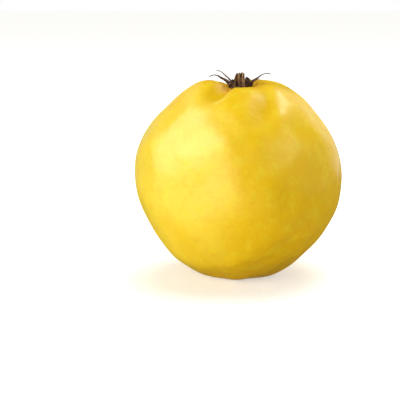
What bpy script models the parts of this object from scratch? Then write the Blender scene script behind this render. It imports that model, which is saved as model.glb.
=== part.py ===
"""A whole quince, as picked: it stands on its stem end, with the dried calyx up.

Metres, +Z up.  The origin is on the surface that the fruit rests on, under the middle of the whole
object.  -Y is the front, the side of the deepest crease.  Three pieces: the pome, the dried calyx
in the basin at its top, and the short woody stalk in the cavity at its foot.
"""

import math
import random

import bmesh
import bpy
import numpy as np
from mathutils import Matrix, Vector

MM = 0.001

# The pome without its two hollows: an egg from pole to pole, widest a little above its middle.
POME_RADIUS = 44.0 * MM
POME_LOW = -3.15 * MM
POME_HIGH = 86.75 * MM
# Its radius is that of an ellipsoid times a polynomial of the place between the poles (-1 to 1).
POME_SHAPE = (1.0, 0.037, -0.153, -0.092, 0.049)
LEAN = 0.8 * MM
# One flank is fuller: azimuth, share of the radius, where between the poles (-1 to 1) and how far.
BELLY = (-5, 0.018, -0.38, 0.34)
# Broad waves round the fruit: number, share of the radius, azimuth of a crest, turn up the axis.
SWELLS = ((2, 0.005, 12, 0.4), (3, 0.004, 200, -0.8))

# The basin round the calyx and the cavity round the stalk.
BASIN_DEPTH = 9.0 * MM
BASIN_SPREAD = 10.3 * MM
CAVITY_DEPTH = 9.2 * MM
CAVITY_SPREAD = 8.2 * MM

# The creases that run out of the basin, by azimuth: depth, width in degrees of the bank behind and
# of the bank ahead, the distances from the axis where each is deepest and where it ends, and how
# many degrees it turns with each millimetre outwards.
CREASES = (
    (5, 1.1 * MM, 15, 15, 14 * MM, 30 * MM, 0.0),
    (108, 2.0 * MM, 20, 17, 11 * MM, 27 * MM, 0.0),
    (165, 1.0 * MM, 14, 16, 13 * MM, 28 * MM, 0.0),
    (247, 3.9 * MM, 23, 8, 14 * MM, 30 * MM, -0.4),
    (293, 2.1 * MM, 15, 12, 26 * MM, 40 * MM, -1.0),
)
# Midway between each crease and the next, the rim stands this much above the plain one.
LOBE_RISES = (0.3 * MM, -0.4 * MM, 1.1 * MM, -1.2 * MM, -0.2 * MM)
RIB = 0.010
FOOT_RIB = 0.3 * MM

GAP = 0.3 * MM
# The calyx: a dried cup in the basin's floor, with a ragged rim, sepals, stamens and styles.
CUP_RADIUS = 4.2 * MM
CUP_ROOT = 2.0 * MM
# (share of the radius, height) from the root's edge up over the rim and down to the cup's floor.
CUP_PROFILE = ((1.0, 1.4), (1.14, 2.2), (1.12, 2.7), (0.98, 2.9), (0.78, 2.4), (0.45, 1.4), (0.2, 1.2))
# The rim stands higher in tatters: azimuth, extra height, half width in degrees.
TATTERS = ((222, 2.2 * MM, 20), (320, 0.9 * MM, 16), (95, 1.0 * MM, 22))
# Sepals: azimuth, length, width, thickness, slopes from root to tip in degrees, turn sideways.
SEPALS = (
    (189, 12.1 * MM, 2.4 * MM, 0.75 * MM, (72, 48, 24, 32, 0, -42), 5),
    (139, 13.4 * MM, 1.9 * MM, 0.65 * MM, (84, 38, 30, 30, 14, -10), -6),
    (8, 12.0 * MM, 2.2 * MM, 0.7 * MM, (92, 42, 31, 34, 6, -22), 3),
    (265, 6.4 * MM, 4.7 * MM, 1.3 * MM, (96, 86, 88, 92, 94, 96), 0),
    (40, 4.4 * MM, 1.9 * MM, 0.9 * MM, (66, 74, 84, 96, 120, 150), 0),
)
STAMENS = 14
STAMEN_LENGTH = 4.6 * MM
STYLES = 5
STYLE_LENGTH = 5.2 * MM

# The stalk: a ribbed woody stub that ends clear of the surface below.
STALK_RADIUS = 2.4 * MM
STALK_LENGTH = 5.0 * MM
STALK_ROOT = 2.0 * MM
STALK_FLARE = 0.22
STALK_BEND = 0.8 * MM

ROWS = 46
SEGMENTS = 72
POLE_CROWDING = 0.62


def smooth(value, start, end):
    """0 before start, 1 after end, eased between."""
    t = np.clip((value - start) / (end - start), 0.0, 1.0)
    return t * t * (3 - 2 * t)


def turn_from(azimuth, centre):
    """Degrees from centre (degrees) to azimuth (radians), between -180 and 180."""
    return np.degrees((azimuth - np.radians(centre) + math.pi) % math.tau - math.pi)


def clear_scene():
    for old in list(bpy.data.objects):
        bpy.data.objects.remove(old, do_unlink=True)


def principled(name, colour, roughness):
    made = bpy.data.materials.new(name)
    made.use_nodes = True
    shader = made.node_tree.nodes["Principled BSDF"]
    shader.inputs["Base Color"].default_value = (*colour, 1.0)
    shader.inputs["Roughness"].default_value = roughness
    shader.inputs["Metallic"].default_value = 0.0
    made.diffuse_color = (*colour, 1.0)
    return made


def mesh_of(name, points, faces):
    made = bpy.data.meshes.new(name)
    made.from_pydata([tuple(p) for p in points], [], faces)
    made.update()
    return made


def piece(name, mesh, material):
    """One named object for one piece, shaded smooth except at its sharp edges."""
    made = bpy.data.objects.new(name, mesh)
    bpy.context.scene.collection.objects.link(made)
    mesh.materials.append(material)
    mesh.shade_smooth()
    mesh.set_sharp_from_angle(angle=math.radians(50))
    return made


# The pome -------------------------------------------------------------------------------------


def between(azimuth, stops):
    """(number of the stop before this azimuth, share of the way from it to the next)."""
    stops = np.radians(stops)
    before = np.searchsorted(stops, azimuth % math.tau, side="right") - 1
    gap = (stops[(before + 1) % len(stops)] - stops[before]) % math.tau
    return before, ((azimuth - stops[before]) % math.tau) / gap


def lobe_wave(azimuth):
    """0 on each crease, 1 midway between two."""
    _, share = between(azimuth, [crease[0] for crease in CREASES])
    return np.sin(math.pi * share) ** 2


def lobe_rise(azimuth):
    """How far the rim stands above the plain one, eased from lobe to lobe."""
    starts = [crease[0] for crease in CREASES]
    middles = [start + (end - start) % 360 / 2 for start, end in zip(starts, starts[1:] + starts[:1])]
    before, share = between(azimuth, middles)
    rises = np.array(LOBE_RISES)
    rise, following = rises[before], rises[(before + 1) % len(rises)]
    return rise + (following - rise) * smooth(share, 0.0, 1.0)


def crease_depth(azimuth, radius):
    """How far the creases sink the shoulder at this azimuth and distance from the axis."""
    depth = 0.0
    for centre, deep, behind, ahead, peak, end, twist in CREASES:
        off = turn_from(azimuth, centre + twist * (radius - peak) / MM)
        bank = np.exp(-((off / np.where(off < 0, behind, ahead)) ** 2))
        depth = depth + deep * bank * smooth(radius, 4 * MM, peak) * (1 - smooth(radius, peak, end))
    return depth


def flank_swell(azimuth, s, wave):
    """The share by which the flank stands out from the plain egg."""
    centre, share, middle, spread = BELLY
    belly = np.exp(-(((s - middle) / spread) ** 2)) * np.cos(azimuth - math.radians(centre))
    swell = 1 + share * belly + RIB * (wave - 0.5) * smooth(np.abs(s), 0.1, 0.6)
    for count, share, centre, turn in SWELLS:
        swell = swell + share * np.cos(count * (azimuth - math.radians(centre) - turn * s))
    return swell


def pome_surface(azimuth, s):
    """Points of the fruit's skin.  s runs from -1 at the stem end to 1 at the calyx."""
    radius = POME_RADIUS * np.sqrt(np.maximum(0.0, 1 - s * s))
    radius = radius * sum(share * s**power for power, share in enumerate(POME_SHAPE))
    height = POME_LOW + (POME_HIGH - POME_LOW) * (1 + s) / 2
    wave = lobe_wave(azimuth)

    basin = BASIN_DEPTH * np.exp(-((radius / BASIN_SPREAD) ** 2))
    rim = smooth(radius, 4 * MM, 12 * MM) * (1 - smooth(radius, 17 * MM, 36 * MM))
    top = lobe_rise(azimuth) * rim - basin - crease_depth(azimuth, radius)
    cavity = CAVITY_DEPTH * np.exp(-((radius / CAVITY_SPREAD) ** 2))
    ring = smooth(radius, 4 * MM, 12 * MM) * (1 - smooth(radius, 16 * MM, 30 * MM))
    foot = cavity + FOOT_RIB * (0.5 - wave) * ring
    height = height + np.where(s > 0, top, foot)

    radius = radius * flank_swell(azimuth, s, wave)
    x = LEAN * s**3 + radius * np.cos(azimuth)
    y = radius * np.sin(azimuth)
    return np.stack([x, y, height], axis=-1)


def pome_mesh(name, rows, segments):
    """The skin as rings from pole to pole, closer together near the poles."""
    share = np.linspace(0.0, 1.0, rows + 1)
    polar = math.pi * share - POLE_CROWDING / 2 * np.sin(math.tau * share)
    azimuths = np.linspace(0.0, math.tau, segments, endpoint=False)
    grid = pome_surface(azimuths[None, :], -np.cos(polar)[1:-1, None])
    poles = [pome_surface(np.zeros(1), np.full(1, end))[0] for end in (-1.0, 1.0)]
    points = list(grid.reshape(-1, 3)) + poles
    foot, top = len(points) - 2, len(points) - 1
    last = (rows - 2) * segments
    faces = []
    for k in range(segments):
        n = (k + 1) % segments
        faces.append((foot, n, k))
        faces.append((top, last + k, last + n))
        for row in range(rows - 2):
            low, high = row * segments, (row + 1) * segments
            faces.append((low + k, low + n, high + n, high + k))
    return mesh_of(name, points, faces)


def cutter(name, build):
    """A closed shape that a Boolean takes away.  It is a helper, and no piece of the quince."""
    shape = bmesh.new()
    build(shape)
    mesh = bpy.data.meshes.new(name)
    shape.to_mesh(mesh)
    shape.free()
    made = bpy.data.objects.new(name, mesh)
    bpy.context.scene.collection.objects.link(made)
    made.hide_render = True
    made.display_type = "WIRE"
    return made


def slab_cutter(name, size, top):
    place = Matrix.Translation((0, 0, top - size / 2)) @ Matrix.Scale(size, 4)
    return cutter(name, lambda shape: bmesh.ops.create_cube(shape, size=1.0, matrix=place))


def round_cutter(name, radius, low, high, x):
    place = Matrix.Translation((x, 0, (low + high) / 2))
    return cutter(
        name,
        lambda shape: bmesh.ops.create_cone(
            shape,
            cap_ends=True,
            segments=32,
            radius1=radius,
            radius2=radius,
            depth=high - low,
            matrix=place,
        ),
    )


def cut(target, tool):
    boolean = target.modifiers.new(tool.name, "BOOLEAN")
    boolean.operation = "DIFFERENCE"
    boolean.solver = "EXACT"
    boolean.object = tool


def basin_floor():
    return POME_HIGH - BASIN_DEPTH


def cavity_roof():
    return POME_LOW + CAVITY_DEPTH


def make_fruit():
    """The pome, cut flat where it rests, with a socket for the calyx and one for the stalk."""
    skin = principled("skin", (0.90, 0.66, 0.05), 0.42)
    fruit = piece("fruit", pome_mesh("fruit", ROWS, SEGMENTS), skin)
    floor, roof = basin_floor(), cavity_roof()
    below, above = floor - CUP_ROOT - GAP, floor + 4 * MM
    low, high = roof - 4 * MM, roof + STALK_ROOT + GAP
    cut(fruit, slab_cutter("table", 0.12, 0.0))
    cut(fruit, round_cutter("calyx_socket", CUP_RADIUS + GAP, below, above, LEAN))
    cut(fruit, round_cutter("stalk_socket", STALK_RADIUS + GAP, low, high, -LEAN))


# Tubes and blades -----------------------------------------------------------------------------


def skin_rings(name, rings):
    """A closed skin over rings with the same number of points, flat at both ends."""
    count = len(rings[0])
    points = [point for ring in rings for point in ring]
    faces = [tuple(reversed(range(count))), tuple(range(len(points) - count, len(points)))]
    for row in range(len(rings) - 1):
        low, high = row * count, (row + 1) * count
        for k in range(count):
            n = (k + 1) % count
            faces.append((low + k, low + n, high + n))
            faces.append((low + k, high + n, high + k))
    return mesh_of(name, points, faces)


def directions(path):
    """The direction of travel at each point of a path."""
    ends = zip([path[0], *path[:-1]], [*path[1:], path[-1]])
    return [(after - before).normalized() for before, after in ends]


def climb(start, azimuth, length, slopes, turn, steps):
    """A path from start that heads along azimuth at the given slopes, both in degrees."""
    points = [start.copy()]
    for i in range(steps):
        share = (i + 0.5) / steps
        slope = math.radians(np.interp(share * (len(slopes) - 1), range(len(slopes)), slopes))
        heading = math.radians(azimuth + turn * share)
        level = math.cos(slope)
        step = Vector((math.cos(heading) * level, math.sin(heading) * level, math.sin(slope)))
        points.append(points[-1] + step * (length / steps))
    return points


def blade(name, path, side, widths, thickness, arch):
    """A strip along a path, arched across and thinner towards its edges."""
    stations = [-1.0, -0.5, 0.0, 0.5, 1.0]
    rings = []
    for point, ahead, width in zip(path, directions(path), widths):
        across = (side - side.dot(ahead) * ahead).normalized()
        up = across.cross(ahead)
        upper, lower = [], []
        for station in stations:
            middle = point + across * (station * width / 2) + up * (arch * width * station**2)
            half = up * (thickness * (1 - 0.12 * station**2) / 2)
            upper.append(middle + half)
            lower.append(middle - half)
        rings.append(upper + lower[::-1])
    return skin_rings(name, rings)


def tube(name, path, radii, sides):
    rings = []
    for point, ahead, radius in zip(path, directions(path), radii):
        across = ahead.orthogonal().normalized()
        up = ahead.cross(across)
        turns = [math.tau * k / sides for k in range(sides)]
        rings.append([point + radius * (math.cos(a) * across + math.sin(a) * up) for a in turns])
    return skin_rings(name, rings)


def out_from_axis(azimuth, radius, height):
    turn = math.radians(azimuth)
    return Vector((radius * math.cos(turn), radius * math.sin(turn), height))


# The calyx ------------------------------------------------------------------------------------


def tatter(azimuth):
    """How much higher the cup's ragged rim stands at this azimuth in degrees."""
    offs = [(turn_from(math.radians(azimuth), centre) / half, rise) for centre, rise, half in TATTERS]
    return sum(rise * math.exp(-(off**2)) for off, rise in offs)


def make_cup():
    """The dried floral cup: a short round root that flares to a ragged rim round a hollow."""
    segments = 32
    rings = []
    for share, height in [(1.0, -CUP_ROOT / MM), *CUP_PROFILE]:
        ring = []
        for k in range(segments):
            azimuth = 360 * k / segments
            lift = tatter(azimuth) * float(smooth(share * height, 1.2, 2.6))
            ring.append(out_from_axis(azimuth, CUP_RADIUS * share, height * MM + lift))
        rings.append(ring)
    return skin_rings("cup", rings)


def make_sepal(azimuth, length, width, thickness, slopes, turn):
    """A dried sepal, broad at its root on the cup's rim and narrow from halfway on."""
    root = out_from_axis(azimuth, CUP_RADIUS * 0.86, 2.1 * MM)
    path = climb(root, azimuth, length, slopes, turn, 10)
    shares = [i / 10 for i in range(11)]
    narrow = 0.75 if length > 8 * MM else 0.15
    widths = [width * (1 - narrow * float(smooth(u, 0.1, 0.9))) for u in shares]
    side = out_from_axis(azimuth + 90, 1.0, 0.0)
    return blade("sepal", path, side, widths, thickness, 0.18)


def make_stamen(rng, number):
    """A withered filament that stands inside the rim, with its anther."""
    azimuth = 360 * (number + rng.uniform(-0.3, 0.3)) / STAMENS
    root = out_from_axis(azimuth, CUP_RADIUS * 0.66, 1.3 * MM)
    slopes = (rng.uniform(68, 92), rng.uniform(60, 110), rng.uniform(30, 140))
    path = climb(root, azimuth, STAMEN_LENGTH * rng.uniform(0.75, 1.15), slopes, rng.uniform(-60, 60), 5)
    return tube("stamen", path, [r * MM for r in (0.45, 0.36, 0.32, 0.32, 0.52, 0.32)], 5)


def make_style(rng, number):
    azimuth = 360 * number / STYLES + rng.uniform(-12, 12)
    root = out_from_axis(azimuth, CUP_RADIUS * 0.22, 0.8 * MM)
    slopes = (94, 90, rng.uniform(50, 88))
    path = climb(root, azimuth, STYLE_LENGTH * rng.uniform(0.85, 1.1), slopes, rng.uniform(-40, 40), 5)
    return tube("style", path, [r * MM for r in (0.6, 0.5, 0.42, 0.4, 0.42, 0.55)], 6)


def make_calyx():
    """The cup with all that grows from it, joined into one solid."""
    rng = random.Random(5)
    calyx = piece("calyx", make_cup(), principled("dried_calyx", (0.12, 0.07, 0.04), 0.85))
    grown = [make_sepal(*sepal) for sepal in SEPALS]
    grown += [make_stamen(rng, k) for k in range(STAMENS)]
    grown += [make_style(rng, k) for k in range(STYLES)]
    unite(calyx, grown)
    calyx.location = (LEAN, 0, basin_floor())


def unite(target, meshes):
    """Joins the meshes to the target by one applied Boolean, and removes the helpers."""
    helpers = bpy.data.collections.new(target.name + "_pieces")
    bpy.context.scene.collection.children.link(helpers)
    for mesh in meshes:
        helpers.objects.link(bpy.data.objects.new(mesh.name, mesh))
    union = target.modifiers.new("union", "BOOLEAN")
    union.operation = "UNION"
    union.operand_type = "COLLECTION"
    union.solver = "EXACT"
    union.collection = helpers
    graph = bpy.context.evaluated_depsgraph_get()
    united = bpy.data.meshes.new_from_object(target.evaluated_get(graph), depsgraph=graph)
    target.modifiers.remove(union)
    target.data = united
    for helper in list(helpers.objects):
        bpy.data.objects.remove(helper, do_unlink=True)
    bpy.data.collections.remove(helpers)


# The stalk ------------------------------------------------------------------------------------


def make_stalk():
    """A woody stub that hangs from the cavity's roof: ribbed, a little bent, thicker at its end."""
    sides, steps = 16, 8
    top = cavity_roof() + STALK_ROOT
    rings = []
    for i in range(steps + 1):
        height = top - (STALK_ROOT + STALK_LENGTH) * i / steps
        hang = max(0.0, (cavity_roof() - height) / STALK_LENGTH)
        neck = 1 - 0.14 * smooth(hang, 0.0, 0.3) + STALK_FLARE * smooth(hang, 0.45, 1.0)
        ring = []
        for k in range(sides):
            turn = -math.tau * k / sides
            rib = 1 + 0.05 * math.cos(5 * turn + 3 * hang) * min(1.0, 4 * hang)
            radius = STALK_RADIUS * neck * rib
            ragged = 0.35 * MM * math.sin(3 * turn + 1) * (i == steps)
            bend = STALK_BEND * hang * hang
            ring.append(Vector((bend + radius * math.cos(turn), radius * math.sin(turn), height + ragged)))
        rings.append(ring)
    stalk = piece("stalk", skin_rings("stalk", rings), principled("bark", (0.17, 0.11, 0.06), 0.8))
    stalk.location = (-LEAN, 0, 0)


def main():
    clear_scene()
    make_fruit()
    make_calyx()
    make_stalk()


main()
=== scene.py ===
"""The looks of the quince: its skin, the dried calyx and the stalk stub, in soft light on white.

Metres, +Z up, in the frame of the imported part.  The skin comes from the same surface formula as
the part's, with finer rings and the small unevenness of a real fruit.
"""

import math
import random
from typing import NamedTuple

import bpy
import numpy as np
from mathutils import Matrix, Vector


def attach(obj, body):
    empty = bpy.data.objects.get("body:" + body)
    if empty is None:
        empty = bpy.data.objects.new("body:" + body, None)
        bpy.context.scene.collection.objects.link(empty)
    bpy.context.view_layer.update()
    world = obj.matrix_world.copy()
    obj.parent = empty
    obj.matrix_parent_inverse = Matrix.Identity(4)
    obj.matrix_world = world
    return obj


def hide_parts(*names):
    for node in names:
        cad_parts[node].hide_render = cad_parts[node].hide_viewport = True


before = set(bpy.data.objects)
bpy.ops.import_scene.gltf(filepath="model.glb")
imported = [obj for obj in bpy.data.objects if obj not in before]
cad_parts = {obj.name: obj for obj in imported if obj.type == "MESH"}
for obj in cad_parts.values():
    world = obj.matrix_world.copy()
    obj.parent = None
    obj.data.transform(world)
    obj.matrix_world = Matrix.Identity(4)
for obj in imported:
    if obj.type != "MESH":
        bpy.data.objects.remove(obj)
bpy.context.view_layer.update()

MM = 0.001

# The pome, as in the part: an egg from pole to pole, widest a little above its middle.
POME_RADIUS = 44.0 * MM
POME_LOW = -3.15 * MM
POME_HIGH = 86.75 * MM
# Its radius is that of an ellipsoid times a polynomial of the place between the poles (-1 to 1).
POME_SHAPE = (1.0, 0.037, -0.153, -0.092, 0.049)
LEAN = 0.8 * MM
# One flank is fuller: azimuth, share of the radius, where between the poles (-1 to 1) and how far.
BELLY = (-5, 0.018, -0.38, 0.34)
# Broad waves round the fruit: number, share of the radius, azimuth of a crest, turn up the axis.
SWELLS = ((2, 0.005, 12, 0.4), (3, 0.004, 200, -0.8))
# The basin round the calyx and the cavity round the stalk.
BASIN_DEPTH = 9.0 * MM
BASIN_SPREAD = 10.3 * MM
CAVITY_DEPTH = 9.2 * MM
CAVITY_SPREAD = 8.2 * MM
# The creases that run out of the basin, by azimuth: depth, width in degrees of the bank behind and
# of the bank ahead, the distances from the axis where each is deepest and where it ends, and how
# many degrees it turns with each millimetre outwards.
CREASES = (
    (5, 1.1 * MM, 15, 15, 14 * MM, 30 * MM, 0.0),
    (108, 2.0 * MM, 20, 17, 11 * MM, 27 * MM, 0.0),
    (165, 1.0 * MM, 14, 16, 13 * MM, 28 * MM, 0.0),
    (247, 3.9 * MM, 23, 8, 14 * MM, 30 * MM, -0.4),
    (293, 2.1 * MM, 15, 12, 26 * MM, 40 * MM, -1.0),
)
# Midway between each crease and the next, the rim stands this much above the plain one.
LOBE_RISES = (0.3 * MM, -0.4 * MM, 1.1 * MM, -1.2 * MM, -0.2 * MM)
RIB = 0.010
FOOT_RIB = 0.3 * MM

# Only on the skin that is seen.
ROWS = 240
SEGMENTS = 320
POLE_CROWDING = 0.62
# Ripples of each length, which stand out and in by this much on average.
RIPPLES = ((13 * MM, 0.08 * MM), (26 * MM, 0.20 * MM))
RIPPLE_WAVES = 18
# The skin lies this far in, so that the ripples' crests don't make the fruit larger.
SKIN_INSET = 0.2 * MM
WRINKLE = 0.22 * MM
# A crease of this depth has its full darker colour, which is partly painted shade.
DEEP_CREASE = 2.5 * MM
# The basin's darker orange, partly its own tint and partly painted shade, fades out between these distances
# from the axis.
BASIN_COLOUR_FROM, BASIN_COLOUR_TO = 5 * MM, 17 * MM

# The calyx, as in the part.
CUP_RADIUS = 4.2 * MM
# (share of the radius, height) from the root's edge up over the rim and down to the cup's floor.
CUP_PROFILE = ((1.0, 1.4), (1.14, 2.2), (1.12, 2.7), (0.98, 2.9), (0.78, 2.4), (0.45, 1.4), (0.2, 1.2))
# The rim stands higher in tatters: azimuth, extra height, half width in degrees.
TATTERS = ((222, 2.2 * MM, 20), (320, 0.9 * MM, 16), (95, 1.0 * MM, 22))
# Sepals: azimuth, length, width, thickness, slopes from root to tip in degrees, turn sideways.
SEPALS = (
    (189, 12.1 * MM, 2.4 * MM, 0.75 * MM, (72, 48, 24, 32, 0, -42), 5),
    (139, 13.4 * MM, 1.9 * MM, 0.65 * MM, (84, 38, 30, 30, 14, -10), -6),
    (8, 12.0 * MM, 2.2 * MM, 0.7 * MM, (92, 42, 31, 34, 6, -22), 3),
    (265, 6.4 * MM, 4.7 * MM, 1.3 * MM, (96, 86, 88, 92, 94, 96), 0),
    (40, 4.4 * MM, 1.9 * MM, 0.9 * MM, (66, 74, 84, 96, 120, 150), 0),
)
STAMEN_LENGTH = 4.6 * MM
STYLES = 5
STYLE_LENGTH = 5.2 * MM

# Only on the calyx that is seen.
STAMENS = 22
# Radii from root to tip, with the anther near the stamen's tip and the stigma at the style's.
STAMEN_RADII = [r * MM for r in (0.26, 0.22, 0.19, 0.17, 0.16, 0.15, 0.15, 0.16, 0.34, 0.4, 0.18)]
STYLE_RADII = [r * MM for r in (0.42, 0.38, 0.34, 0.3, 0.28, 0.26, 0.26, 0.27, 0.3, 0.42, 0.34)]
# Shrivelled lumps on the rim: azimuth, distance from the axis, height and radius.
LUMPS = (
    (222, 4.3 * MM, 4.0 * MM, 1.25 * MM),
    (240, 4.0 * MM, 2.7 * MM, 1.0 * MM),
    (300, 4.1 * MM, 3.0 * MM, 1.0 * MM),
    (325, 4.2 * MM, 3.9 * MM, 1.1 * MM),
    (348, 4.6 * MM, 3.5 * MM, 1.0 * MM),
    (20, 4.4 * MM, 3.7 * MM, 0.9 * MM),
    (112, 4.2 * MM, 3.4 * MM, 1.1 * MM),
)
# Limp filaments that hang out over the rim: azimuth, length, slopes, turn.
STRANDS = (
    (228, 5.2 * MM, (60, 10, -35, -50), -25),
    (246, 4.4 * MM, (50, 0, -45, -70), -40),
    (275, 3.6 * MM, (70, 20, -50, -85), 25),
    (352, 5.4 * MM, (66, 34, 28, 8), 14),
    (22, 5.0 * MM, (62, 40, 30, 30), -20),
    (172, 5.6 * MM, (60, 34, 22, 4), 22),
)
HAIRS = 900
HAIRS_ON_CUP = 0.45
HAIR_RADIUS = 0.035 * MM

# The stalk, as in the part.
STALK_RADIUS = 2.4 * MM
STALK_LENGTH = 5.0 * MM
STALK_FLARE = 0.22
STALK_BEND = 0.8 * MM

# Colours of the skin, as linear red, green and blue.
GOLDEN = (0.84, 0.54, 0.001)
# Lemon, paler and creamier than the fruit's own tone because it lies on the lit front left: partly painted
# highlight.
LEMON_AND_LIT_CREAM = (0.84, 0.63, 0.045)
PALE_BLOOM = (0.86, 0.64, 0.02)
AMBER = (0.79, 0.44, 0.001)
PORE = (0.78, 0.62, 0.05)
CREASE_GOLD_AND_SHADE = (0.68, 0.41, 0.002)
BASIN_ORANGE_AND_SHADE = (0.64, 0.31, 0.008)
RUST = (0.36, 0.15, 0.02)
# Colours of dry plant matter, each from dark to light.
CUP_BROWNS = ((0.028, 0.014, 0.008), (0.16, 0.085, 0.04))
SEPAL_BROWNS = ((0.06, 0.04, 0.03), (0.22, 0.15, 0.10))
BROAD_SEPAL_BROWNS = ((0.04, 0.02, 0.012), (0.42, 0.25, 0.12))
STAMEN_BROWNS = ((0.07, 0.035, 0.018), (0.34, 0.21, 0.12))
STYLE_BROWNS = ((0.04, 0.02, 0.012), (0.2, 0.12, 0.06))
STRAND_BROWNS = ((0.16, 0.09, 0.05), (0.45, 0.30, 0.18))
LUMP_BROWNS = ((0.02, 0.009, 0.008), (0.11, 0.05, 0.032))
WOOL_BROWNS = ((0.16, 0.11, 0.07), (0.42, 0.33, 0.23))
BARK_BROWNS = ((0.10, 0.055, 0.028), (0.30, 0.19, 0.095))

# The studio: a warm table top, which the camera sees as white, in a dim warm room.
TABLE_REACH = 6.0
TABLE_TOP = -0.2 * MM
TABLE_WARM = (0.68, 0.61, 0.30)
# The table's own glow for the camera, at the fruit and far from the lights, and where it changes.
TABLE_GLOW = (0.45, 0.9)
TABLE_GLOW_FROM, TABLE_GLOW_TO = 0.03, 0.35
WHITE = (1.0, 1.0, 1.0, 1.0)
ROOM_WARM = (1.0, 0.92, 0.6, 1.0)
ROOM_GLOW = 0.10
# What the lamps and the cards face.
LIT_HEIGHT = 45 * MM
# Lamps and cards: glow, width, height, azimuth, elevation, distance.
LAMPS = {
    "left_lamp": (2.65, 0.9, 0.9, -140, 3, 0.9),
    "front_lamp": (1.1, 1.0, 1.0, -106, 18, 1.1),
    "top_lamp": (4.6, 0.8, 0.8, 63, 77, 1.0),
    "right_lamp": (2.5, 0.6, 0.6, 19, 15, 0.8),
    "back_lamp": (1.6, 0.8, 0.8, 85, 12, 0.9),
}
CARDS = {
    "wall_card": (1.1, 2.5, 2.1, -145, 2, 0.95),
    "core_card": (4.3, 0.7, 0.4, -170, 30, 0.8),
    "peak_card": (1.6, 0.4, 0.3, -150, 38, 0.8),
    "upper_card": (6.4, 0.40, 0.35, -135, 52, 0.8),
    "shoulder_card": (6.1, 0.3, 0.3, 172, 56, 0.8),
    "behind_card": (1.0, 0.35, 0.35, 125, 45, 0.8),
    "edge_card": (2.4, 0.35, 0.9, -108, 10, 0.8),
    "low_card": (0.8, 0.9, 0.5, -140, -30, 0.8),
    "patch_card": (11.0, 0.14, 0.18, 44, 53, 0.7),
    "streak_card": (2.8, 0.15, 0.3, -8, 43, 0.8),
    "right_card": (2.7, 0.25, 0.25, -33, 35, 0.8),
    "right_low_card": (0.5, 0.3, 0.4, -28, 10, 0.8),
    "side_card": (0.5, 0.5, 0.6, 5, 10, 0.8),
    "right_rim_card": (1.1, 0.5, 0.6, 52, 14, 0.8),
    "left_rim_card": (0.4, 0.5, 0.6, 118, 6, 0.8),
}

# The camera: where it aims without a shift, how far off it is, and the shift of its aim, which
# sets the fruit right of the middle of the picture.
CAMERA_LENS = 100.0
CAMERA_SENSOR = 36.0
CAMERA_MIDDLE = Vector((0.0, 0.0, 0.0418))
CAMERA_DISTANCE = 0.4743
CAMERA_ELEVATION = 9.5
CAMERA_SHIFT = Vector((-0.0162, 0.0, -0.0103))


def smooth(value, start, end):
    """0 before start, 1 after end, eased between."""
    t = np.clip((value - start) / (end - start), 0.0, 1.0)
    return t * t * (3 - 2 * t)


def turn_from(azimuth, centre):
    """Degrees from centre (degrees) to azimuth (radians), between -180 and 180."""
    return np.degrees((azimuth - np.radians(centre) + math.pi) % math.tau - math.pi)


def out_from_axis(azimuth, radius, height):
    """The point at this azimuth in degrees, distance from the axis and height."""
    turn = math.radians(azimuth)
    return Vector((radius * math.cos(turn), radius * math.sin(turn), height))


def random_way(rng):
    """A direction of length 1."""
    return Vector([rng.uniform(-1, 1) for _ in range(3)]).normalized()


# The skin -------------------------------------------------------------------------------------


def between(azimuth, stops):
    """(number of the stop before this azimuth, share of the way from it to the next)."""
    stops = np.radians(stops)
    before = np.searchsorted(stops, azimuth % math.tau, side="right") - 1
    gap = (stops[(before + 1) % len(stops)] - stops[before]) % math.tau
    return before, ((azimuth - stops[before]) % math.tau) / gap


def lobe_wave(azimuth):
    """0 on each crease, 1 midway between two."""
    _, share = between(azimuth, [crease[0] for crease in CREASES])
    return np.sin(math.pi * share) ** 2


def lobe_rise(azimuth):
    """How far the rim stands above the plain one, eased from lobe to lobe."""
    starts = [crease[0] for crease in CREASES]
    middles = [start + (end - start) % 360 / 2 for start, end in zip(starts, starts[1:] + starts[:1])]
    before, share = between(azimuth, middles)
    rises = np.array(LOBE_RISES)
    rise, following = rises[before], rises[(before + 1) % len(rises)]
    return rise + (following - rise) * smooth(share, 0.0, 1.0)


def crease_depth(azimuth, radius):
    """How far the creases sink the shoulder at this azimuth and distance from the axis."""
    depth = 0.0
    for centre, deep, behind, ahead, peak, end, twist in CREASES:
        off = turn_from(azimuth, centre + twist * (radius - peak) / MM)
        bank = np.exp(-((off / np.where(off < 0, behind, ahead)) ** 2))
        depth = depth + deep * bank * smooth(radius, 4 * MM, peak) * (1 - smooth(radius, peak, end))
    return depth


def flank_swell(azimuth, s, wave):
    """The share by which the flank stands out from the plain egg."""
    centre, share, middle, spread = BELLY
    belly = np.exp(-(((s - middle) / spread) ** 2)) * np.cos(azimuth - math.radians(centre))
    swell = 1 + share * belly + RIB * (wave - 0.5) * smooth(np.abs(s), 0.1, 0.6)
    for count, share, centre, turn in SWELLS:
        swell = swell + share * np.cos(count * (azimuth - math.radians(centre) - turn * s))
    return swell


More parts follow.
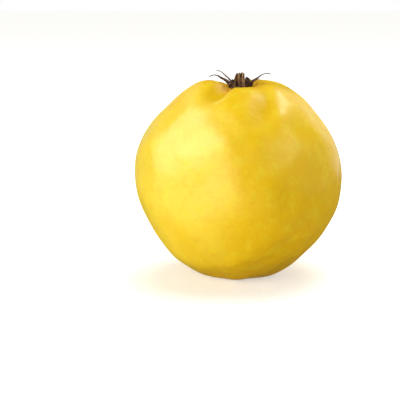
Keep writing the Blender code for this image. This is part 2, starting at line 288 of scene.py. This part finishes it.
def pome_surface(azimuth, s):
    """Points of the fruit's skin.  s runs from -1 at the stem end to 1 at the calyx."""
    radius = POME_RADIUS * np.sqrt(np.maximum(0.0, 1 - s * s))
    radius = radius * sum(share * s**power for power, share in enumerate(POME_SHAPE))
    height = POME_LOW + (POME_HIGH - POME_LOW) * (1 + s) / 2
    wave = lobe_wave(azimuth)

    basin = BASIN_DEPTH * np.exp(-((radius / BASIN_SPREAD) ** 2))
    rim = smooth(radius, 4 * MM, 12 * MM) * (1 - smooth(radius, 17 * MM, 36 * MM))
    top = lobe_rise(azimuth) * rim - basin - crease_depth(azimuth, radius)
    cavity = CAVITY_DEPTH * np.exp(-((radius / CAVITY_SPREAD) ** 2))
    ring = smooth(radius, 4 * MM, 12 * MM) * (1 - smooth(radius, 16 * MM, 30 * MM))
    foot = cavity + FOOT_RIB * (0.5 - wave) * ring
    height = height + np.where(s > 0, top, foot)

    radius = radius * flank_swell(azimuth, s, wave)
    x = LEAN * s**3 + radius * np.cos(azimuth)
    y = radius * np.sin(azimuth)
    return np.stack([x, y, height], axis=-1)


def ripple(points):
    """A gentle random field over the skin: how far each point stands out, in metres."""
    rng = np.random.default_rng(11)
    height = np.zeros(points.shape[:-1])
    for length, amount in RIPPLES:
        waves = rng.normal(size=(RIPPLE_WAVES, 3))
        waves *= math.tau / length / np.linalg.norm(waves, axis=1, keepdims=True)
        phases = rng.uniform(0, math.tau, RIPPLE_WAVES)
        height += amount * np.cos(points @ waves.T + phases).sum(axis=-1) / math.sqrt(RIPPLE_WAVES / 2)
    return height


def skin_points(azimuth, s):
    """The pome's surface with ripples on the flank and fine wrinkles that run into both hollows."""
    points = pome_surface(azimuth, s)
    radius = np.linalg.norm(points[..., :2], axis=-1)
    outward = points - np.array([0.0, 0.0, 0.5 * (POME_LOW + POME_HIGH)])
    outward /= np.linalg.norm(outward, axis=-1, keepdims=True)
    rise = ripple(points) * smooth(radius, 8 * MM, 20 * MM) - SKIN_INSET
    points = points + outward * rise[..., None]
    fold = np.cos(17 * azimuth + 2.0 * np.sin(3 * azimuth)) + 0.6 * np.cos(29 * azimuth + 1.0)
    near = smooth(radius, 2 * MM, 6 * MM) * (1 - smooth(radius, 7 * MM, 13 * MM))
    points[..., 2] += np.sign(s) * WRINKLE * fold * near
    points[..., 2] = np.maximum(points[..., 2], 0.0)
    return points


def skin_faces(share):
    """Faces between rings at these shares of the way up, and each face's corners on the unwrapping."""
    faces, wraps = [], []
    last = (ROWS - 2) * SEGMENTS
    foot_at = last + SEGMENTS
    top_at = foot_at + 1
    for k in range(SEGMENTS):
        n = (k + 1) % SEGMENTS
        left, right, middle = k / SEGMENTS, (k + 1) / SEGMENTS, (k + 0.5) / SEGMENTS
        faces.append((foot_at, n, k))
        wraps += [(middle, 0.0), (right, share[1]), (left, share[1])]
        for row in range(ROWS - 2):
            low, high = row * SEGMENTS, (row + 1) * SEGMENTS
            faces.append((low + k, low + n, high + n, high + k))
            below, above = share[row + 1], share[row + 2]
            wraps += [(left, below), (right, below), (right, above), (left, above)]
        faces.append((top_at, last + k, last + n))
        wraps += [(middle, 1.0), (left, share[-2]), (right, share[-2])]
    return faces, wraps


def make_skin():
    """One closed skin, with an unwrapping that has its only seam at the back."""
    share = np.linspace(0.0, 1.0, ROWS + 1)
    polar = math.pi * share - POLE_CROWDING / 2 * np.sin(math.tau * share)
    s = -np.cos(polar)
    azimuths = np.linspace(0.0, math.tau, SEGMENTS, endpoint=False) + math.pi / 2
    rings = skin_points(azimuths[None, :], s[1:-1, None])
    foot = skin_points(np.zeros(1), np.array([-1.0]))
    top = skin_points(np.zeros(1), np.array([1.0]))
    points = np.concatenate([rings.reshape(-1, 3), foot, top])
    faces, wraps = skin_faces(share)

    mesh = bpy.data.meshes.new("skin")
    mesh.from_pydata(points, [], faces)
    unwrapping = mesh.uv_layers.new(name="OFBake")
    unwrapping.uv.foreach_set("vector", np.array(wraps, dtype=np.float32).ravel())
    mark_creases(mesh, points)
    mesh.shade_smooth()
    show("skin", mesh, skin_material(), "fruit")


def mark_creases(mesh, points):
    """Gives the mesh an attribute, hollow, that is 1 in a deep crease and 0 off the creases."""
    radius = np.linalg.norm(points[:, :2], axis=1)
    azimuth = np.arctan2(points[:, 1], points[:, 0])
    depth = crease_depth(azimuth, radius) * (points[:, 2] > 0.5 * POME_HIGH)
    hollow = mesh.attributes.new("hollow", "FLOAT", "POINT")
    hollow.data.foreach_set("value", (depth / DEEP_CREASE).astype(np.float32))


# Materials ------------------------------------------------------------------------------------


class Shade:
    """A material's nodes, added one by one.  Patterns follow the object's own metres."""

    def __init__(self, name, roughness, specular):
        self.material = bpy.data.materials.new(name)
        self.material.use_nodes = True
        self.tree = self.material.node_tree
        self.shader = self.tree.nodes["Principled BSDF"]
        self.shader.inputs["Roughness"].default_value = roughness
        self.shader.inputs["Specular IOR Level"].default_value = specular
        self.place = self.tree.nodes.new("ShaderNodeTexCoord").outputs["Object"]

    def feed(self, socket, value):
        """Gives an input a number or colour, or joins another node's output to it."""
        if isinstance(value, bpy.types.NodeSocket):
            self.tree.links.new(value, socket)
        else:
            socket.default_value = value

    def noise(self, scale, detail, rough=0.5, stretch=None):
        node = self.tree.nodes.new("ShaderNodeTexNoise")
        node.inputs["Scale"].default_value = scale
        node.inputs["Detail"].default_value = detail
        node.inputs["Roughness"].default_value = rough
        self.feed(node.inputs["Vector"], self.stretched(stretch) if stretch else self.place)
        return node.outputs["Fac"]

    def stretched(self, scale):
        node = self.tree.nodes.new("ShaderNodeMapping")
        node.inputs["Scale"].default_value = scale
        self.feed(node.inputs["Vector"], self.place)
        return node.outputs["Vector"]

    def cells(self, scale):
        """Distance to the nearest of many scattered points."""
        node = self.tree.nodes.new("ShaderNodeTexVoronoi")
        node.inputs["Scale"].default_value = scale
        self.feed(node.inputs["Vector"], self.place)
        return node.outputs["Distance"]

    def attribute(self, name):
        node = self.tree.nodes.new("ShaderNodeAttribute")
        node.attribute_name = name
        return node.outputs["Fac"]

    def axis(self, number):
        """x, y or z, by number."""
        node = self.tree.nodes.new("ShaderNodeSeparateXYZ")
        self.feed(node.inputs[0], self.place)
        return node.outputs[number]

    def distance(self):
        """Distance from the object's origin."""
        node = self.tree.nodes.new("ShaderNodeVectorMath")
        node.operation = "LENGTH"
        self.feed(node.inputs[0], self.place)
        return node.outputs["Value"]

    def span(self, value, low, high, to_low=0.0, to_high=1.0):
        """value from low..high to to_low..to_high, clamped and eased."""
        node = self.tree.nodes.new("ShaderNodeMapRange")
        node.interpolation_type = "SMOOTHSTEP"
        self.feed(node.inputs["Value"], value)
        for name, number in (("From Min", low), ("From Max", high), ("To Min", to_low), ("To Max", to_high)):
            node.inputs[name].default_value = number
        return node.outputs["Result"]

    def maths(self, operation, first, second=0.0):
        node = self.tree.nodes.new("ShaderNodeMath")
        node.operation = operation
        self.feed(node.inputs[0], first)
        self.feed(node.inputs[1], second)
        return node.outputs[0]

    def blend(self, factor, first, second):
        """The first colour where factor is 0, the second where it is 1."""
        node = self.tree.nodes.new("ShaderNodeMix")
        node.data_type = "RGBA"
        self.feed(node.inputs["Factor"], factor)
        self.feed(node.inputs["A"], (*first, 1.0) if isinstance(first, tuple) else first)
        self.feed(node.inputs["B"], (*second, 1.0) if isinstance(second, tuple) else second)
        return node.outputs["Result"]

    def colour(self, value):
        self.feed(self.shader.inputs["Base Color"], (*value, 1.0) if isinstance(value, tuple) else value)

    def bump(self, height, distance):
        """Adds a bump on top of those already there."""
        node = self.tree.nodes.new("ShaderNodeBump")
        node.inputs["Strength"].default_value = 1.0
        node.inputs["Distance"].default_value = distance
        self.feed(node.inputs["Height"], height)
        normal = self.shader.inputs["Normal"]
        if normal.links:
            self.tree.links.new(normal.links[0].from_socket, node.inputs["Normal"])
        self.tree.links.new(node.outputs["Normal"], normal)


def skin_material():
    """Waxy yellow skin: golden and lemon patches with painted light on the lit front left, pale pores, and
    darker orange in the creases and the basin, partly painted shade.
    """
    shade = Shade("quince_skin", 0.33, 0.5)
    pores = shade.span(shade.cells(330), 0.10, 0.2, 0.25, 0.0)
    hollow = shade.span(shade.attribute("hollow"), 0.2, 1.0, 0.0, 0.75)
    near = near_calyx(shade)

    # Lemon on the front left and golden elsewhere: partly the fruit's own uneven ripeness, partly painted
    # light where the key lamp falls.
    base = shade.blend(ripeness_and_lit_side(shade), LEMON_AND_LIT_CREAM, GOLDEN)
    bloom = shade.span(shade.noise(210, 5.0, 0.65), 0.46, 0.66, 0.0, 0.7)
    base = shade.blend(bloom, base, PALE_BLOOM)
    mottle = shade.span(shade.noise(310, 4.0, 0.6), 0.5, 0.7, 0.0, 0.3)
    base = shade.blend(mottle, base, AMBER)
    base = shade.blend(pores, base, PORE)
    # Darker gold in the creases: the crease's own tint and partly painted shade.
    base = shade.blend(hollow, base, CREASE_GOLD_AND_SHADE)
    # Darker orange towards the calyx: the basin's own tint and partly painted shade.
    base = shade.blend(shade.maths("MULTIPLY", near, 0.9), base, BASIN_ORANGE_AND_SHADE)
    rust = shade.span(shade.noise(420, 5.0, 0.7), 0.48, 0.62)
    base = shade.blend(shade.maths("MULTIPLY", rust, near), base, RUST)
    shade.colour(base)

    shade.shader.inputs["Specular Tint"].default_value = (1.0, 0.97, 1.0, 1.0)
    gloss = shade.span(shade.maths("ADD", hollow, near), 0.0, 0.9, 0.5, 0.1)
    shade.feed(shade.shader.inputs["Specular IOR Level"], gloss)
    roughness = shade.span(shade.noise(90, 3.0), 0.3, 0.7, 0.29, 0.43)
    shade.feed(shade.shader.inputs["Roughness"], roughness)
    shade.shader.inputs["Subsurface Weight"].default_value = 0.06
    shade.shader.inputs["Subsurface Radius"].default_value = (6 * MM, 3 * MM, 0.8 * MM)
    shade.shader.inputs["Subsurface Scale"].default_value = 1.0

    shade.bump(shade.noise(75, 3.0), 0.7 * MM)
    shade.bump(shade.noise(230, 3.0, 0.6), 0.12 * MM)
    shade.bump(shade.noise(650, 4.0, 0.6), 0.04 * MM)
    shade.bump(pores, 0.05 * MM)
    return shade.material


def ripeness_and_lit_side(shade):
    """Patches of 0 to 1, lemon at 0 and golden at 1: they vary at random and grow golden to the right and to
    the back, so the lit front left stays pale lemon, partly as painted light.
    """
    across = shade.maths("MULTIPLY", shade.axis(0), 10.0)
    backwards = shade.maths("MULTIPLY", shade.axis(1), 5.0)
    ripe_and_lit = shade.maths("ADD", shade.noise(28, 2.0), shade.maths("ADD", across, backwards))
    return shade.span(ripe_and_lit, 0.0, 0.4)


def near_calyx(shade):
    """1 at the foot of the calyx, 0 from the rim of the basin on."""
    x = shade.maths("SUBTRACT", shade.axis(0), LEAN)
    x_squared = shade.maths("MULTIPLY", x, x)
    y_squared = shade.maths("MULTIPLY", shade.axis(1), shade.axis(1))
    distance = shade.maths("SQRT", shade.maths("ADD", x_squared, y_squared))
    near = shade.span(distance, BASIN_COLOUR_FROM, BASIN_COLOUR_TO, 1.0, 0.0)
    return shade.maths("MULTIPLY", near, shade.span(shade.axis(2), 0.5 * POME_HIGH, 0.6 * POME_HIGH))


def dry_material(name, browns, scale):
    """Dead plant matter with upright streaks, dark to light."""
    along = (1.0, 1.0, 0.35)
    shade = Shade(name, 0.85, 0.25)
    streaks = shade.span(shade.noise(scale, 4.0, 0.65, along), 0.38, 0.68)
    shade.colour(shade.blend(streaks, *browns))
    shade.bump(shade.noise(scale * 1.5, 4.0, 0.7, along), 0.3 * MM)
    return shade.material


def bark_material():
    """Brown woody bark with upright streaks."""
    along = (1.0, 1.0, 0.3)
    shade = Shade("stalk_bark", 0.8, 0.3)
    streaks = shade.span(shade.noise(700, 4.0, 0.6, along), 0.35, 0.65)
    shade.colour(shade.blend(streaks, *BARK_BROWNS))
    shade.bump(shade.noise(900, 4.0, 0.7, along), 0.25 * MM)
    return shade.material


def wool_material():
    """Dull pale hair."""
    shade = Shade("dry_wool", 0.9, 0.2)
    shade.colour(shade.blend(shade.noise(300, 2.0), *WOOL_BROWNS))
    return shade.material


# Tubes and blades -----------------------------------------------------------------------------


def show(name, mesh, material, node):
    """Shows a mesh in place of a node of the part."""
    made = bpy.data.objects.new(name, mesh)
    bpy.context.scene.collection.objects.link(made)
    mesh.materials.append(material)
    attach(made, "root")
    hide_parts(node)


def show_dry(name, points, faces, material):
    """Shows one smooth piece of the dried calyx."""
    show(name, mesh_of(name, points, faces), material, "calyx")


def skin_rings(points, faces, rings):
    """Adds a closed skin over rings with the same number of points."""
    start, count = len(points), len(rings[0])
    points += [point for ring in rings for point in ring]
    faces.append(tuple(start + k for k in reversed(range(count))))
    faces.append(tuple(range(len(points) - count, len(points))))
    for row in range(len(rings) - 1):
        low, high = start + row * count, start + (row + 1) * count
        for k in range(count):
            n = (k + 1) % count
            faces.append((low + k, low + n, high + n, high + k))


def mesh_of(name, points, faces):
    """A smooth mesh with its sharp edges kept."""
    mesh = bpy.data.meshes.new(name)
    mesh.from_pydata([tuple(point) for point in points], [], faces)
    mesh.update()
    mesh.shade_smooth()
    mesh.set_sharp_from_angle(angle=math.radians(50))
    return mesh


def directions(path):
    """The direction of travel at each point of a path."""
    ends = zip([path[0], *path[:-1]], [*path[1:], path[-1]])
    return [(after - before).normalized() for before, after in ends]


def climb(start, azimuth, length, slopes, turn, steps):
    """A path from start that heads along azimuth at the given slopes, both in degrees."""
    points = [start.copy()]
    for i in range(steps):
        share = (i + 0.5) / steps
        slope = math.radians(np.interp(share * (len(slopes) - 1), range(len(slopes)), slopes))
        step = out_from_axis(azimuth + turn * share, math.cos(slope), math.sin(slope))
        points.append(points[-1] + step * (length / steps))
    return points


def tube_rings(path, radii, sides):
    """Rings across a path, each with its own radius."""
    rings = []
    for point, ahead, radius in zip(path, directions(path), radii):
        across = ahead.orthogonal().normalized()
        up = ahead.cross(across)
        turns = [math.tau * k / sides for k in range(sides)]
        rings.append([point + radius * (math.cos(a) * across + math.sin(a) * up) for a in turns])
    return rings


# The calyx ------------------------------------------------------------------------------------


class Habit(NamedTuple):
    """How a dried sepal is bent and worn, other than by its path."""

    taper: float  # share of its width that is gone by its tip
    thinness: float  # share of the thickness that it has in the part
    roll: float  # degrees that its root is rolled about its length, which eases off to the tip
    curls: tuple  # degrees that it bends round from edge to edge, at its root and at its tip
    fold: float  # depth of the folds along it, as a share of its width
    crumple: float  # unevenness of its faces
    tear: float  # how far its end is torn


LONG_SEPAL = Habit(0.78, 0.55, 50, (70, 200), 0.048, 0.06 * MM, 0.0)
SHORT_SEPAL = Habit(0.12, 0.4, 0, (60, 60), 0.12, 0.16 * MM, 1.0 * MM)


def calyx_foot():
    """The floor of the basin, on the axis."""
    return Vector((LEAN, 0.0, POME_HIGH - BASIN_DEPTH))


def tatter(azimuth):
    """How much higher the cup's ragged rim stands at this azimuth in degrees."""
    offs = [(turn_from(math.radians(azimuth), centre) / half, rise) for centre, rise, half in TATTERS]
    return sum(rise * math.exp(-(off**2)) for off, rise in offs)


def make_cup(rng):
    """The dried floral cup, with a torn rim round a hollow."""
    segments, folds = 96, 11
    root = (1.0, -0.8)
    tears = [rng.uniform(-0.35, 0.45) * MM for _ in range(segments)]
    rings = []
    for share, height in (root, *CUP_PROFILE):
        torn = float(smooth(share * height, 1.2, 2.6))
        ring = []
        for k in range(segments):
            azimuth = 360 * k / segments
            lift = (tatter(azimuth) + tears[k] + tears[k // 3]) * torn
            fold = 0.05 * math.sin(math.radians(azimuth * folds)) + 0.03 * rng.uniform(-1, 1)
            radius = CUP_RADIUS * share * (1 + fold * torn)
            ring.append(calyx_foot() + out_from_axis(azimuth, radius, height * MM + lift))
        rings.append(ring)
    points, faces = [], []
    skin_rings(points, faces, rings)
    show_dry("cup", points, faces, dry_material("dry_cup", CUP_BROWNS, 500))


def sepal_path(sepal, steps):
    """A sepal's middle line, from inside the cup's rim to its tip."""
    azimuth, length, _, _, slopes, turn = sepal
    root = calyx_foot() + out_from_axis(azimuth, CUP_RADIUS * 0.86, 2.1 * MM)
    return climb(root, azimuth, length, slopes, turn, steps)


def sepal_axes(side, ahead, roll):
    """The ways across a sepal that heads ahead, and to its hollow side, which is rolled to the front."""
    across = (side - side.dot(ahead) * ahead).normalized()
    hollow = across.cross(ahead)
    roll = math.copysign(roll, side.y)
    rolled_across = across * math.cos(roll) + hollow * math.sin(roll)
    rolled_hollow = hollow * math.cos(roll) - across * math.sin(roll)
    return rolled_across, rolled_hollow


def sepal_rings(rng, sepal):
    """A dried sepal: broad at its root, then curled in on itself, with crumpled edges."""
    azimuth, length, width, thickness, _, _ = sepal
    habit = LONG_SEPAL if length > 8 * MM else SHORT_SEPAL
    steps, stations = 28, 10
    path = sepal_path(sepal, steps)
    side = out_from_axis(azimuth + 90, 1.0, 0.0)
    crumple = [[rng.uniform(-1, 1) for _ in range(stations + 1)] for _ in range(steps + 1)]
    rings = []
    for i, (point, ahead) in enumerate(zip(path, directions(path))):
        share = i / steps
        wide = width * (1 - habit.taper * float(smooth(share, 0.1, 0.9)))
        half_thick = thickness * habit.thinness * (1 - 0.35 * share) / 2
        across, hollow = sepal_axes(side, ahead, math.radians(habit.roll * (1 - share)))
        curl = math.radians(habit.curls[0] + (habit.curls[1] - habit.curls[0]) * share)
        reach = wide / curl
        upper, lower = [], []
        for k in range(stations + 1):
            station = 2 * k / stations - 1
            bend = station * curl / 2
            fold = habit.fold * wide * math.sin(station * 7 + azimuth + 1.5 * share)
            depth = reach * (1 - math.cos(bend)) + habit.crumple * crumple[i][k] + fold
            middle = point + across * (reach * math.sin(bend)) + hollow * depth
            middle += ahead * (habit.tear * share * (0.7 * crumple[-1][k] - station**2))
            normal = hollow * math.cos(bend) - across * math.sin(bend)
            upper.append(middle + normal * half_thick)
            lower.append(middle - normal * half_thick)
        rings.append(upper + lower[::-1])
    return rings


def make_sepals(rng):
    """The five sepals, each a piece of its own."""
    for number, sepal in enumerate(SEPALS, 1):
        name, width = f"sepal_{number}", sepal[2]
        points, faces = [], []
        skin_rings(points, faces, sepal_rings(rng, sepal))
        browns = BROAD_SEPAL_BROWNS if width > 4 * MM else SEPAL_BROWNS
        show_dry(name, points, faces, dry_material(name, browns, 800))


def make_stamens(rng):
    """Withered filaments inside the rim, each with its anther."""
    points, faces = [], []
    for number in range(STAMENS):
        azimuth = 360 * (number + rng.uniform(-0.3, 0.3)) / STAMENS
        root = calyx_foot() + out_from_axis(azimuth, CUP_RADIUS * rng.uniform(0.5, 0.8), 1.3 * MM)
        slopes = (rng.uniform(68, 92), rng.uniform(60, 110), rng.uniform(30, 140))
        length, turn = STAMEN_LENGTH * rng.uniform(0.7, 1.1), rng.uniform(-60, 60)
        path = climb(root, azimuth, length, slopes, turn, len(STAMEN_RADII) - 1)
        skin_rings(points, faces, tube_rings(path, STAMEN_RADII, 7))
    show_dry("stamens", points, faces, dry_material("dry_stamens", STAMEN_BROWNS, 900))


def make_styles(rng):
    """The styles in the middle of the cup, each with its stigma."""
    points, faces = [], []
    for number in range(STYLES):
        azimuth = 360 * number / STYLES + rng.uniform(-12, 12)
        root = calyx_foot() + out_from_axis(azimuth, CUP_RADIUS * 0.22, 0.8 * MM)
        slopes = (94, 90, rng.uniform(50, 88))
        length, turn = STYLE_LENGTH * rng.uniform(0.85, 1.1), rng.uniform(-40, 40)
        path = climb(root, azimuth, length, slopes, turn, len(STYLE_RADII) - 1)
        skin_rings(points, faces, tube_rings(path, STYLE_RADII, 8))
    show_dry("styles", points, faces, dry_material("dry_styles", STYLE_BROWNS, 700))


def make_strands(rng):
    """Filaments that hang out over the rim, thinner towards their tips."""
    steps = 14
    points, faces = [], []
    for azimuth, length, slopes, turn in STRANDS:
        root = calyx_foot() + out_from_axis(azimuth, CUP_RADIUS * 0.95, 2.9 * MM)
        path = climb(root, azimuth, length, slopes, turn, steps)
        radii = [(0.2 - 0.008 * step + rng.uniform(-0.02, 0.02)) * MM for step in range(steps + 1)]
        skin_rings(points, faces, tube_rings(path, radii, 7))
    show_dry("strands", points, faces, dry_material("dry_strands", STRAND_BROWNS, 900))


def lump_rings(rng, middle, radius):
    """A ball with a few blunt bumps and a rough face."""
    rows, sides = 14, 20
    bumps = [random_way(rng) for _ in range(7)]
    rings = []
    for row in range(1, rows):
        polar = math.pi * row / rows
        ring = []
        for k in range(sides):
            way = out_from_axis(360 / sides * k, math.sin(polar), -math.cos(polar))
            swell = 1 + 0.25 * sum(max(0.0, way.dot(bump)) ** 6 - 0.15 for bump in bumps)
            swell += 0.07 * rng.uniform(-1, 1)
            ring.append(middle + Vector((way.x, way.y, way.z * 1.1)) * radius * swell)
        rings.append(ring)
    return rings


def make_lumps(rng):
    """The rolled and shrivelled bits of the torn rim."""
    points, faces = [], []
    for azimuth, distance, height, radius in LUMPS:
        middle = calyx_foot() + out_from_axis(azimuth, distance, height)
        skin_rings(points, faces, lump_rings(rng, middle, radius))
    show_dry("lumps", points, faces, dry_material("dry_lumps", LUMP_BROWNS, 700))


def cup_hair(rng):
    """The root and the direction of a hair on the outside of the cup."""
    azimuth = rng.uniform(0, 360)
    radius = CUP_RADIUS * rng.uniform(0.95, 1.12)
    root = calyx_foot() + out_from_axis(azimuth, radius, rng.uniform(0.9, 2.6) * MM)
    lean = out_from_axis(azimuth + rng.uniform(-50, 50), 1.0, rng.uniform(0.0, 1.4)).normalized()
    return root, lean


def sepal_hair(rng):
    """The root and the direction of a hair on a sepal, more often near the sepal's root."""
    steps = 20
    sepal = rng.choice(SEPALS)
    azimuth, _, width, _, _, _ = sepal
    spot = min(steps - 1, int(steps * rng.random() ** 1.5))
    offset = rng.uniform(-0.45, 0.45) * width * (1 - 0.7 * spot / steps)
    root = sepal_path(sepal, steps)[spot] + out_from_axis(azimuth + 90, 1.0, 0.0) * offset
    return root, random_way(rng)


def make_hairs(rng):
    """The wool that stays on the cup and the sepals' roots: short fine spikes with three sides."""
    points, faces = [], []
    for _ in range(HAIRS):
        root, lean = cup_hair(rng) if rng.random() < HAIRS_ON_CUP else sepal_hair(rng)
        length = rng.uniform(0.5, 1.1) * MM
        curve = Vector([rng.uniform(-0.25, 0.25) for _ in range(3)]) * length
        across = lean.orthogonal().normalized() * HAIR_RADIUS
        up = lean.cross(across)
        start = len(points)
        back, beside = root - across * 0.5, up * 0.87
        points += [root + across, back + beside, back - beside, root + lean * length + curve]
        faces.append((start, start + 2, start + 1))
        faces += [(start + k, start + (k + 1) % 3, start + 3) for k in range(3)]
    show_dry("wool", points, faces, wool_material())


# The stalk ------------------------------------------------------------------------------------


def make_stalk(rng):
    """A ribbed stub that hangs from the cavity's roof and ends in a torn break."""
    sides, steps = 48, 28
    root = 1.0 * MM
    roof = POME_LOW + CAVITY_DEPTH
    rag = [rng.uniform(-0.25, 0.25) * MM for _ in range(sides)]
    rings = []
    for i in range(steps + 1):
        height = roof + root - (root + STALK_LENGTH) * i / steps
        hang = max(0.0, (roof - height) / STALK_LENGTH)
        neck = 1 - 0.14 * float(smooth(hang, 0.0, 0.3)) + STALK_FLARE * float(smooth(hang, 0.45, 1.0))
        # A hair slimmer than in the part, and drawn in at the break.
        slimmer = 0.94 if i == steps else 0.99
        bend = STALK_BEND * hang * hang
        ring = []
        for k in range(sides):
            turn = -math.tau * k / sides
            rib = 1 + 0.05 * math.cos(5 * turn + 3 * hang) + 0.02 * math.cos(13 * turn + 9 * hang)
            radius = STALK_RADIUS * neck * rib * slimmer
            x, y = -LEAN + bend + radius * math.cos(turn), radius * math.sin(turn)
            ring.append(Vector((x, y, height + rag[k] * (i == steps))))
        rings.append(ring)
    rim = rings[-1]
    end = sum(rim, Vector()) / sides
    for share, rise in ((0.7, 0.15), (0.4, 0.35), (0.12, 0.8)):
        rises = [Vector((0, 0, (rise + rng.uniform(-0.1, 0.1)) * MM)) for _ in range(sides)]
        rings.append([end + (point - end) * share + up for point, up in zip(rim, rises)])
    points, faces = [], []
    skin_rings(points, faces, rings)
    show("stalk_stub", mesh_of("stalk_stub", points, faces), bark_material(), "stalk")


# The studio -----------------------------------------------------------------------------------


def area_light(name, glow, width, height, azimuth, elevation, distance, gloss):
    """A rectangle of light that faces the fruit, for the gloss alone or for all but the gloss."""
    light = bpy.data.lights.new(name, "AREA")
    light.energy = glow * math.pi * width * height
    light.shape = "RECTANGLE"
    light.size, light.size_y = width, height
    # Without this, a lamp that is hidden from the gloss still whitens it a little.
    light.cycles.use_multiple_importance_sampling = gloss
    made = bpy.data.objects.new(name, light)
    rise = math.radians(elevation)
    towards = out_from_axis(azimuth, math.cos(rise), math.sin(rise))
    made.location = Vector((0.0, 0.0, LIT_HEIGHT)) + towards * distance
    made.rotation_euler = towards.to_track_quat("Z", "Y").to_euler()
    made.visible_camera = False
    made.visible_glossy = gloss
    made.visible_diffuse = not gloss
    bpy.context.scene.collection.objects.link(made)


def camera_sees(tree, seen, lights, target):
    """Joins two shaders: the camera sees one, and everything else is lit by the other."""
    path = tree.nodes.new("ShaderNodeLightPath")
    both = tree.nodes.new("ShaderNodeMixShader")
    tree.links.new(path.outputs["Is Camera Ray"], both.inputs["Fac"])
    tree.links.new(lights, both.inputs[1])
    tree.links.new(seen, both.inputs[2])
    tree.links.new(both.outputs[0], target)


def table_material():
    """Warm to the fruit.  To the camera it is white and glows, so that it is pale to the horizon."""
    shade = Shade("white_floor", 0.9, 0.1)
    shade.colour(TABLE_WARM)
    nodes, links = shade.tree.nodes, shade.tree.links
    glow = nodes.new("ShaderNodeEmission")
    glow.inputs["Color"].default_value = WHITE
    strength = shade.span(shade.distance(), TABLE_GLOW_FROM, TABLE_GLOW_TO, *TABLE_GLOW)
    shade.feed(glow.inputs["Strength"], strength)
    white = nodes.new("ShaderNodeBsdfDiffuse")
    lifted = nodes.new("ShaderNodeAddShader")
    links.new(white.outputs[0], lifted.inputs[0])
    links.new(glow.outputs[0], lifted.inputs[1])
    warm, surface = shade.shader.outputs[0], nodes["Material Output"].inputs["Surface"]
    camera_sees(shade.tree, lifted.outputs[0], warm, surface)
    return shade.material


def make_floor():
    """A pale table top that throws no shadow, so that cards below it still reach the fruit."""
    mesh = bpy.data.meshes.new("floor")
    ways = ((-1, -1), (1, -1), (1, 1), (-1, 1))
    corners = [(TABLE_REACH * x, TABLE_REACH * y, TABLE_TOP) for x, y in ways]
    mesh.from_pydata(corners, [], [(0, 1, 2, 3)])
    mesh.materials.append(table_material())
    floor = bpy.data.objects.new("floor", mesh)
    bpy.context.scene.collection.objects.link(floor)
    floor.visible_glossy = False
    floor.visible_shadow = False


def make_world():
    """Dim and warm all round, so that the skin's gloss shows the cards only, and white to the camera."""
    world = bpy.data.worlds.new("studio")
    bpy.context.scene.world = world
    world.use_nodes = True
    tree = world.node_tree
    dim = tree.nodes["Background"]
    dim.inputs["Color"].default_value = ROOM_WARM
    dim.inputs["Strength"].default_value = ROOM_GLOW
    white = tree.nodes.new("ShaderNodeBackground")
    white.inputs["Color"].default_value = WHITE
    camera_sees(tree, white.outputs[0], dim.outputs[0], tree.nodes["World Output"].inputs["Surface"])


def make_lights():
    """Lamps light the fruit from all round, and cards show only in its gloss."""
    for name, placed in LAMPS.items():
        area_light(name, *placed, gloss=False)
    for name, placed in CARDS.items():
        area_light(name, *placed, gloss=True)


def make_camera():
    """In front and a little above."""
    lens = bpy.data.cameras.new("camera")
    lens.lens, lens.sensor_width = CAMERA_LENS, CAMERA_SENSOR
    lens.clip_start, lens.clip_end = 0.01, 50.0
    camera = bpy.data.objects.new("camera", lens)
    rise = math.radians(CAMERA_ELEVATION)
    camera.location = CAMERA_MIDDLE + CAMERA_DISTANCE * Vector((0.0, -math.cos(rise), math.sin(rise)))
    ahead = CAMERA_MIDDLE + CAMERA_SHIFT - camera.location
    camera.rotation_euler = ahead.to_track_quat("-Z", "Y").to_euler()
    bpy.context.scene.collection.objects.link(camera)
    bpy.context.scene.camera = camera
    bpy.context.scene.view_settings.view_transform = "Standard"


def main():
    rng = random.Random(5)
    make_skin()
    make_cup(rng)
    make_sepals(rng)
    make_stamens(rng)
    make_styles(rng)
    make_strands(rng)
    make_lumps(rng)
    make_hairs(rng)
    make_stalk(rng)
    make_floor()
    make_world()
    make_lights()
    make_camera()


main()
